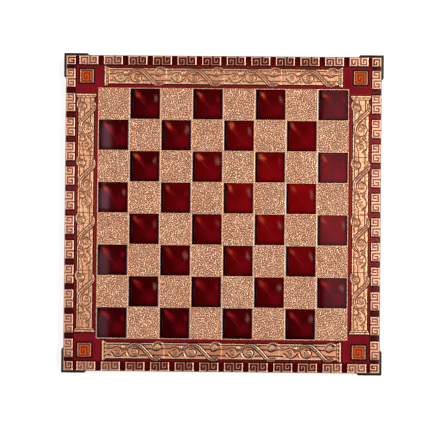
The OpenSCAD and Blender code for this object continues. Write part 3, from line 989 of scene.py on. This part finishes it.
def channel_sheet(side):
    """Level enamel in one border casting's channel and pits. Its marks carry painted shade along the
    metal and in the pits, and it runs on over the seam between two castings."""
    source = node_mesh(f"channel_enamel_{side}")
    loops = [corners(line) for line in outlines(source, [f for f in source.faces if f.normal.z > 0.9])]
    source.free()
    lines = [evened(line) for line in loops]
    rim = np.vstack(lines)
    edges = []
    for line in lines:
        first, count = len(edges), len(line)
        edges += [(first + i, first + (i + 1) % count) for i in range(count)]
    parts = [rim]
    for reach in RIM_STEPS:
        near = np.vstack([set_in(line, reach) for line in lines])
        near = near[to_walls(near, loops) > 0.9 * reach]
        parts.append(near[within(near, loops)])
    axes = [np.arange(a, b, SHEET_STEP) for a, b in zip(rim.min(0), rim.max(0))]
    inner = np.stack(np.meshgrid(*axes), -1).reshape(-1, 2)
    inner = inner[within(inner, loops)]
    parts.append(inner[to_walls(inner, loops) > RIM_STEPS[-1] + 0.25])
    points = np.vstack(parts)

    edge = np.clip(1 - to_walls(points, loops, seams=False) / EDGE_REACH, 0, 1)
    pit = ramp(np.abs(points).max(1), key_in - 1, key_in + 0.5)
    foot = len(points)
    faces = triangles(points, edges, loops).tolist()
    faces += [(a, foot + a, foot + b, b) for a, b in edges]
    faces += (foot + triangles(rim, edges, loops)[:, ::-1]).tolist()
    top = np.column_stack([points, np.full(len(points), z_enamel)])
    verts = np.vstack([top, np.column_stack([rim, np.full(len(rim), z_channel)])])
    mesh = bpy.data.meshes.new(f"{side}_channel_enamel")
    mesh.from_pydata((verts * MM).tolist(), [], faces)
    at_foot = np.ones(len(rim))
    mark_points(mesh, {"edge": np.append(edge, at_foot), "pit": np.append(pit, at_foot)})
    return finished(mesh, SHEET_CREASE)


# Scroll bars, with s along the motif and w across the bar towards the rosettes

GROUND = -0.75
BODY = 0.1
# The motif is drawn at this length, and is stretched a little to fit the bar
DRAWN_L = 65.1
DISC_1, DISC_1_R = (12.4, -1.2), 4.6
DISC_2, DISC_2_R = (32.0, -2.2), 4.6
BUD = (18.9, 4.2)
ROSETTE, ROSETTE_R = (56.3, 4.8), 4.2
HOOD_C, HOOD_R = (58.5, 2.8), 8.2
TURN_C, TURN_R = (55.9, -1.75), 9.4
RIBBON = smooth_line(
    [(19.5, 0.9), (21.3, 1.2), (23.1, 2.3), (25.3, 4.3), (27.5, 5.8), (30.2, 6.8), (33, 6.9), (36.4, 6.3),
     (38.6, 5.2), (40.8, 3.4), (43, 1.2), (45.2, -1), (47.5, -3.5), (49.7, -6.1), (51.5, -8.1),
     (53.6, -9.2), (56.2, -9.6), (59.5, -8.9)]
)
# Grooves of a motif: half width and depth, and points along each
GROOVES = (
    (0.75, 0.8, [(0.8, 6.9), (25, 6.9)]),
    (0.75, 0.8, [(41.3, 6.9), (51.2, 6.9)]),
    (0.75, 0.8, [(59.7, 6.7), (64.4, 6.9)]),
    (0.75, 0.8, [(0.8, -5), (5.5, -5)]),
    (0.75, 0.8, [(37.6, -5), (46, -5)]),
    (0.75, 0.8, [(51.2, -5), (64.4, -5)]),
    (0.6, 0.75, [(0.8, 2.3), (6.6, 2.4), (8.6, 3.4), (11.5, 4.3), (14.4, 3.5), (16.4, 1.7), (18.2, -0.8)]),
    (0.7, 0.8, [(5.3, -1.5), (7, -3), (8.9, -5.4), (11.5, -7), (15.1, -6.8), (18.2, -5), (21.3, -1.9)]),
    (0.7, 0.8, [(24, -0.1), (24.9, -3.2), (27.1, -5.8), (30.2, -7), (33.4, -6.7), (35.7, -4.8), (37, -1.9),
                (36.4, 0.5), (34.4, 1.9), (31.7, 2.4), (29.4, 1.6)]),
    ((0.3, 0.9, 0.3), 0.8, [(20.6, -4.7), (22.3, -5.2), (23.8, -4.7)]),
    ((0.3, 0.8, 1, 0.6), 0.8, [(33.6, 4), (36.4, 2.8), (39, 1.2), (41.3, -0.8), (43.2, -2.6)]),
    (0.75, 0.8, [(45.8, 2.3), (48.8, 2.1), (51.9, 1.8), (54.1, 0.3), (56.3, -0.2), (58.6, 0.5), (60.8, 1.8),
                 (64.4, 2.3)]),
)
# Leaves of a motif: half widths, and points along each
LEAVES = (
    ((0.6, 0.9, 0.4), [(4.7, -2.8), (6.2, -5), (8.4, -7)]),
    ((0.5, 0.9, 0.5), [(22.4, -2.2), (23.3, -4.6), (25, -7)]),
    ((0.4, 0.9, 0.5), [(18.4, -6.6), (20.3, -4.6), (21.8, -2.8)]),
    ((0.5, 0.9, 0.5), [(38.3, -1.2), (37.6, -3.8), (35.2, -6.6)]),
    ((0.4, 0.9, 0.3), [(45.4, 1.3), (47.8, 0.2), (50, -1.8)]),
    ((0.4, 0.9, 0.3), [(51.4, -5.9), (53.2, -6.7), (55.6, -7.1)]),
    ((0.4, 0.8, 0.4), [(1.2, 5.1), (3.6, 4.6), (6, 5)]),
    ((0.4, 0.8, 0.4), [(61.2, 4.5), (62.6, 4.9), (64, 4.6)]),
)
LEAF_TOP = 0.5
# Caps: width of a scallop, length of the scallops, and height of the end strip
SCALLOP_W, SCALLOP_L, STRIP_TOP = 4.5, 2.9, 0.45
# Grid of a bar: step along it, rows across it, and rows close to its edges
BAR_STEP, BAR_ROWS, CAP_ROWS = 0.3, 60, 18
BAR_EDGE_IN = np.array([0, 0.1, 0.28])
BAR_EDGE_GAP = 0.55
# Half the width of the bar's middle, which keeps its rows where the outline bulges
FIXED = 2.0
BAR_ROUND = 0.3


def raised(z, line, half_width, top, x, y, flatness=2):
    """Relief with a rounded ridge along a line."""
    share = beside(line, half_width, x, y)
    return np.maximum(z, GROUND + (top - GROUND) * crown(share, flatness))


def cut(z, line, half_width, depth, x, y):
    """Relief with a soft groove along a line."""
    share = np.minimum(beside(line, half_width, x, y), 1)
    return np.maximum(z - depth * (1 - share**2) ** 2, GROUND)


def cleared(z, line, half_width, x, y):
    """Relief cut down to its ground along a line."""
    keep = ramp(beside(line, half_width, x, y), 0.8, 1.1)
    return GROUND + (z - GROUND) * keep


def dot(centre):
    """Shortest line at a centre, for round features."""
    return [centre, (centre[0] + HAIR, centre[1])]


def disc(z, centre, radius, top, swirl, s, w):
    """Relief with a round knot: a low dome with a spiral groove. swirl is its start and turns."""
    z = raised(z, dot(centre), radius, top, s, w, 4)
    z = cut(z, spiral(centre, 0.72 * radius, 0.12 * radius, *swirl), 0.5, 0.6, s, w)
    return raised(z, dot(centre), 0.75, top + 0.1, s, w)


def motif_relief(s, w):
    """Heights of one motif above the playing face: bands, two volutes, bud, ribbon and rosette."""
    z = np.full(s.shape, BODY)
    for half_w, depth, points in GROOVES:
        z = cut(z, smooth_line(points), half_w, depth, s, w)
    z = disc(z, DISC_1, DISC_1_R, 0.35, (165, -1.7), s, w)
    z = disc(z, DISC_2, DISC_2_R, 0.4, (140, 1.8), s, w)
    for widths, points in LEAVES:
        z = raised(z, smooth_line(points), widths, LEAF_TOP, s, w)
    z = cut(z, spiral(BUD, 2.9, 2.9, 40, 0.8), 0.45, 0.5, s, w)
    z = raised(z, dot(BUD), 2.4, 0.45, s, w, 3)
    z = raised(z, dot((BUD[0] + 2.2, BUD[1] + 1)), 0.8, 0.6, s, w)
    z = cleared(z, RIBBON, (0.9, 2.1, 2.6, 2.85, 2.85, 2.1), s, w)
    z = raised(z, RIBBON, (0.8, 1.8, 2.3, 2.4, 2.4, 1.7), 0.85, s, w, 3)
    z = cut(z, RIBBON, (0.45, 0.7, 0.78, 0.78, 0.55), 1.1, s, w)
    z = cut(z, spiral(ROSETTE, ROSETTE_R + 0.4, ROSETTE_R + 0.4, 150, 1), 0.5, 0.35, s, w)
    z = disc(z, ROSETTE, ROSETTE_R, 0.7, (60, -1.7), s, w)
    # The hood over the rosette, with a groove under it
    z = cut(z, spiral(HOOD_C, HOOD_R - 2.3, HOOD_R - 2.5, 165, -0.34), 0.5, 0.6, s, w)
    z = raised(z, spiral(HOOD_C, HOOD_R - 0.9, HOOD_R - 1.2, 168, -0.36), (0.6, 0.95, 0.6), 0.6, s, w)
    # Collars, one at each end
    for end in (0, DRAWN_L):
        z = raised(z, [(end, -9), (end, 9)], 0.6, 0.3, s, w)
    return z


def cap_relief(d, w):
    """Heights of a flared cap, d from the bar's body: scallops, a groove and an end strip."""
    wave = math.pi * w / SCALLOP_W
    scallop = (0.45 * np.abs(np.cos(wave)) - 0.15) * ramp(d, 0.2, 1.0)
    z = np.where(d < SCALLOP_L, scallop, STRIP_TOP)
    z = z - 0.8 * np.exp(-(((d - 2.7) / 0.35) ** 2)) * ramp(np.abs(np.sin(wave)), 0, 0.5)
    return z - 0.6 * np.exp(-((d / 0.4) ** 2))


def bulge(s, centre, radius):
    """How far a round knot reaches across the bar at s, where it passes the bar's body."""
    reach = centre[1] + np.sqrt(np.maximum(radius**2 - (s - centre[0]) ** 2, 0))
    return np.maximum(reach, bar_w / 2)


def widened(rows, up, down):
    """Rows stretched from the bar's middle part to reach the outline on both sides."""
    grow_up, grow_down = (up - FIXED) / (bar_w / 2 - FIXED), (down - FIXED) / (bar_w / 2 - FIXED)
    above = FIXED + (rows - FIXED) * grow_up
    below = -FIXED + (rows + FIXED) * grow_down
    return np.where(rows > FIXED, above, np.where(rows < -FIXED, below, rows))


def blurred(z, passes):
    """Values of a grid softened by repeated means of neighbours."""
    for _ in range(passes):
        for _ in range(2):
            wide = np.pad(z, ((1, 1), (0, 0)), mode="edge")
            z = (0.5 * z + 0.25 * (wide[:-2] + wide[2:])).T
    return z


def scroll_bar():
    """One applied scroll bar, drawn along X with its middle at the origin: grid and marks."""
    count = round(motif_l / BAR_STEP)
    s = np.linspace(0, DRAWN_L, count + 1)
    rows = np.linspace(BAR_EDGE_GAP, bar_w - BAR_EDGE_GAP, BAR_ROWS)
    rows = np.concatenate([BAR_EDGE_IN, rows, bar_w - BAR_EDGE_IN[::-1]])[:, None] - bar_w / 2
    w = widened(rows, bulge(s, HOOD_C, HOOD_R), bulge(s, (TURN_C[0], -TURN_C[1]), TURN_R))
    z = motif_relief(np.broadcast_to(s, w.shape), w)
    d = np.linspace(0, cap_l, CAP_ROWS)
    flare = bar_w / 2 + cap_flare * ramp(d, 0, cap_l / 2)
    w_cap = widened(rows, flare, flare)
    z_cap = cap_relief(np.broadcast_to(d, w_cap.shape), w_cap)
    z_cap -= BAR_ROUND * (1 - ramp(cap_l - d, 0, 0.4))

    # A cap, the motifs end to end, and the other cap
    z = np.hstack([z_cap[:, :0:-1], *[z[:, :-1]] * motif_count, z[:, -1:], z_cap[:, 1:]])
    w = np.hstack([w_cap[:, :0:-1], *[w[:, :-1]] * motif_count, w[:, -1:], w_cap[:, 1:]])
    body = np.linspace(cap_l - bar_half, bar_half - cap_l, motif_count * count + 1)
    along = np.concatenate([cap_l - bar_half - d[:0:-1], body, bar_half - cap_l + d[1:]])
    from_edge = np.minimum(w - w[0], w[-1] - w)
    z = z - BAR_ROUND * (1 - ramp(from_edge, 0, 0.3))
    # Brown patina stays where the relief is lower than what surrounds it
    recess = ramp(blurred(z, 30) - z, 0.08, 0.5)
    rubbed = np.maximum(1 - ramp(from_edge, 0.8, 2), ramp(z, 0.15, 0.6))
    return np.broadcast_to(along, w.shape), w, z_face + z, {"recess": recess, "rubbed": rubbed}


# Medallions

MEDALLION_R = 0.6
# The frame's ridge is bright between these distances in from its outline; elsewhere the frame takes dark
# patina, as painted shade on its slopes
RIDGE_AT = (0.8, 1.5)
FRAME_SHADE = 0.8
# Height of the enamel's plate, the border round its key, and the widest step of its grid
PLATE_H, KEY_MARGIN, KEY_LINE_WIDE = 0.9, 0.7, 0.45


def medallion_frame(name, centre):
    """Square frame of a medallion: sloping sides, a rounded ridge and a recess for the enamel."""
    outer, recess = medallion_w / 2, medallion_in / 2
    profile = [
        (outer, z_channel), (outer - 0.05, z_enamel + 0.2), (outer - 0.35, z_enamel + 0.9),
        (outer - 0.85, z_face - 0.15), (outer - 1.1, z_face), (outer - 1.35, z_face - 0.05),
        (outer - 1.6, z_face - 0.35), (recess + 0.35, z_face - 0.6), (recess, z_face - 0.75),
        (recess, z_recess),
    ]
    piece = square_lathe(name, centre, profile, MEDALLION_R)
    away = [max(abs(v.co.x / MM - centre[0]), abs(v.co.y / MM - centre[1])) for v in piece.data.vertices]
    dull = [0.0 if RIDGE_AT[0] < outer - a < RIDGE_AT[1] else FRAME_SHADE for a in away]
    mark_points(piece.data, {"recess": dull, "rubbed": np.ones(len(dull))})
    return piece


def medallion_key(name, centre):
    """Orange enamel of a medallion: a plate with a raised square key."""
    key_half = medallion_in / 2 - KEY_MARGIN
    cell = 2 * key_half / key_cells
    plate = z_recess + PLATE_H
    edges = np.arange(key_cells + 1) * cell - key_half
    soft = np.concatenate([edges - SOFT, edges + SOFT, [-medallion_in / 2, medallion_in / 2]])
    line = grid_line(soft, LINE_CLOSE, KEY_LINE_WIDE)
    x, y = np.meshgrid(line, line)
    in_key = key_half - np.maximum(np.abs(x), np.abs(y))
    gap = off_groove(x + key_half, y + key_half, cell, cell)
    rise = ramp(np.minimum(in_key, gap), -0.2, 0.4)
    z = plate + (z_orange - plate) * rise
    return grid_solid(name, x + centre[0], y + centre[1], z, z_recess, {"recess": 1 - rise})


# Making the pieces

# Pink, gold and patina of each plating, its roughness, and how much patina is left in specks
field_metal = plated_casting("satin_copper_field", "#eec2a0", "#da9c7a", "#ba7a5a", 0.36)
border_metal = plated_casting("satin_copper_border", "#ecac98", "#d8a082", "#5e1c14", 0.32)
bar_metal = plated_casting("satin_copper_scrollwork", "#f6c4a2", "#dca27c", "#8c5234", 0.37, 0.55)
# The south bar's plating has a paler pink and a darker patina than the other bars': painted highlight and
# painted shade
south_metal = plated_casting("satin_copper_south_bar", "#ffd2ae", "#dc9672", "#4e160c", 0.34, 0.25)
medallion_metal = plated_casting("satin_copper_medallion", "#e6aa90", "#d8a07c", "#4a0c0a", 0.34)
red_enamel = square_enamel()
crimson_enamel = channel_enamel()
fired_orange = orange_enamel()
black_paint = satin_black()
FOOT_ROUND = 0.45

for rank in range(1, SQUARES + 1):
    fit(field_rank(rank), field_metal, "field_metal", "field_casting")

for f, letter in enumerate(FILES):
    for rank in range(1, SQUARES + 1):
        if is_dark(f, rank):
            low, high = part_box(f"inlay_{letter}{rank}")
            piece = dark_square(f"dark_square_{letter}{rank}")
            piece.location = ((low[0] + high[0]) / 2, (low[1] + high[1]) / 2, 0)
            fit(piece, red_enamel, "dark_enamel", f"inlay_{letter}{rank}")

for i, side in enumerate(SIDES):
    fit(border_casting(i), border_metal, "border_metal", f"border_{side}")
    fit(border_skirt(i), border_metal, "border_metal", f"border_{side}")
    fit(channel_sheet(side), crimson_enamel, "channel_enamel", f"channel_enamel_{side}")

bar_x, bar_y, bar_z, bar_marks = scroll_bar()
# The south bar, nearest the player, has its patina spread well up the sides of its grooves, as painted shade
# where light grazes it
SOUTH_SHADE = 2.4
south_marks = {**bar_marks, "recess": np.minimum(SOUTH_SHADE * blurred(bar_marks["recess"], 3), 1)}
for i, side in enumerate(SIDES):
    out = 1 if side in ("north", "west") else -1
    marks, metal = (south_marks, south_metal) if side == "south" else (bar_marks, bar_metal)
    piece = grid_solid(f"{side}_scroll_bar", bar_x, bar_y, bar_z, z_channel, marks)
    turn(piece, 3 if i % 2 else 0, (0, out * bar_c))
    fit(piece, metal, "bar_metal", f"scroll_bar_{side}")

for corner, (sign_x, sign_y) in CORNERS.items():
    centre = np.array([sign_x, sign_y]) * medallion_c
    piece = medallion_frame(f"{corner}_medallion_frame", centre)
    fit(piece, medallion_metal, "medallion_metal", f"medallion_{corner}")
    piece = medallion_key(f"{corner}_medallion_key", centre)
    fit(piece, fired_orange, "orange_enamel", f"medallion_enamel_{corner}")
    piece = softened(f"{corner}_corner_foot", f"foot_{corner}", FOOT_ROUND)
    fit(piece, black_paint, "foot_black", f"foot_{corner}")

for node, material in (
    ("core_panel", beech_plywood()),
    ("base_lining", black_felt()),
    ("foot_screws", turned_steel()),
):
    for slot in NODES[node].material_slots:
        slot.material = material


# Floor, light and camera

# Height of the lamps and the panes of the small window. Metres here and below
LAMP_HEIGHT = 2.0
PANE_X, PANE_D = (-0.338, -0.316), 0.057
# Low edge and radiance of each pane
PANES = ((-0.285, 1.2), (-0.121, 1.5), (0.044, 2.5), (0.208, 2.2))


def softbox(name, low, high, radiance, tint="#ffffff"):
    """Lamp panel that faces down, between two corners in plan."""
    wide, deep = high[0] - low[0], high[1] - low[1]
    lamp = bpy.data.lights.new(name, "AREA")
    lamp.shape = "RECTANGLE"
    lamp.size, lamp.size_y = wide, deep
    lamp.energy = radiance * math.pi * wide * deep
    lamp.color = paint(tint)[:3]
    panel = bpy.data.objects.new(name, lamp)
    panel.location = ((low[0] + high[0]) / 2, (low[1] + high[1]) / 2, LAMP_HEIGHT)
    panel.visible_camera = False
    bpy.context.scene.collection.objects.link(panel)


def paper_floor():
    """Matt white paper that keeps the board's shadow and otherwise shows as plain white."""
    material = bpy.data.materials.new("white_paper")
    tree = empty_tree(material)
    paper = add(tree, "ShaderNodeBsdfDiffuse", {"Color": paint("#f8f8f8")})
    straight = add(tree, "ShaderNodeLightPath", output="Is Camera Ray")
    mirrored = add(tree, "ShaderNodeLightPath", output="Is Glossy Ray")
    seen = add(tree, "ShaderNodeMath", {0: straight, 1: mirrored}, operation="MAXIMUM")
    lift = add(tree, "ShaderNodeMath", {0: seen, 1: 0.6}, operation="MULTIPLY")
    glow = add(tree, "ShaderNodeEmission", {"Strength": lift})
    both = add(tree, "ShaderNodeAddShader", {0: paper, 1: glow})
    add(tree, "ShaderNodeOutputMaterial", {"Surface": both})
    bpy.ops.mesh.primitive_plane_add(size=10, location=(0, 0, 0))
    floor = bpy.context.object
    floor.name = "paper_floor"
    floor.data.materials.append(material)
    floor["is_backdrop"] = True


def studio_walls():
    """World light: pale walls, brighter at the sides, that fade to a dark ceiling."""
    world = bpy.data.worlds.new("studio")
    bpy.context.scene.world = world
    tree = empty_tree(world)
    way = add(tree, "ShaderNodeTexCoord", output="Generated")
    up = add(tree, "ShaderNodeSeparateXYZ", {"Vector": way}, "Z")
    aside = add(tree, "ShaderNodeSeparateXYZ", {"Vector": way}, "X")
    across = add(tree, "ShaderNodeMath", {0: aside}, operation="ABSOLUTE")
    fading = {"Value": up, "From Min": 0.15, "From Max": 0.85, "To Min": 0.6, "To Max": 0.02}
    widening = {"Value": across, "From Min": 0.1, "From Max": 0.7, "To Min": 0.4, "To Max": 1.1}
    parts = {0: add(tree, "ShaderNodeMapRange", fading), 1: add(tree, "ShaderNodeMapRange", widening)}
    strength = add(tree, "ShaderNodeMath", parts, operation="MULTIPLY")
    sky = add(tree, "ShaderNodeBackground", {"Color": paint("#ffffff"), "Strength": strength})
    add(tree, "ShaderNodeOutputWorld", {"Surface": sky})


def camera():
    """Camera almost square on to the playing face, 1.5 m above it."""
    lens = bpy.data.cameras.new("camera")
    lens.lens = 106.86
    lens.sensor_width = 36
    eye = bpy.data.objects.new("camera", lens)
    eye.location = (0.0145, -0.0283, 1.5302)
    eye.rotation_euler = [math.radians(a) for a in (0.690, 0.523, 0.517)]
    bpy.context.scene.collection.objects.link(eye)
    bpy.context.scene.camera = eye


softbox("left_softbox", (-1.6, -0.38), (-0.46, 0.7), 3.75)
softbox("right_strip", (0.242, -0.288), (0.309, 0.362), 0.55, "#ffd0e2")
softbox("right_softbox", (0.40, -0.38), (1.6, 0.7), 6.1)
# Each pane shows in one dark square of the file a
for k, (pane_y, radiance) in enumerate(PANES):
    softbox(f"window_pane_{k + 1}", (PANE_X[0], pane_y), (PANE_X[1], pane_y + PANE_D), radiance, "#ffb4cc")
paper_floor()
studio_walls()
camera()
bpy.context.scene.view_settings.view_transform = "Standard"

low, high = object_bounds()
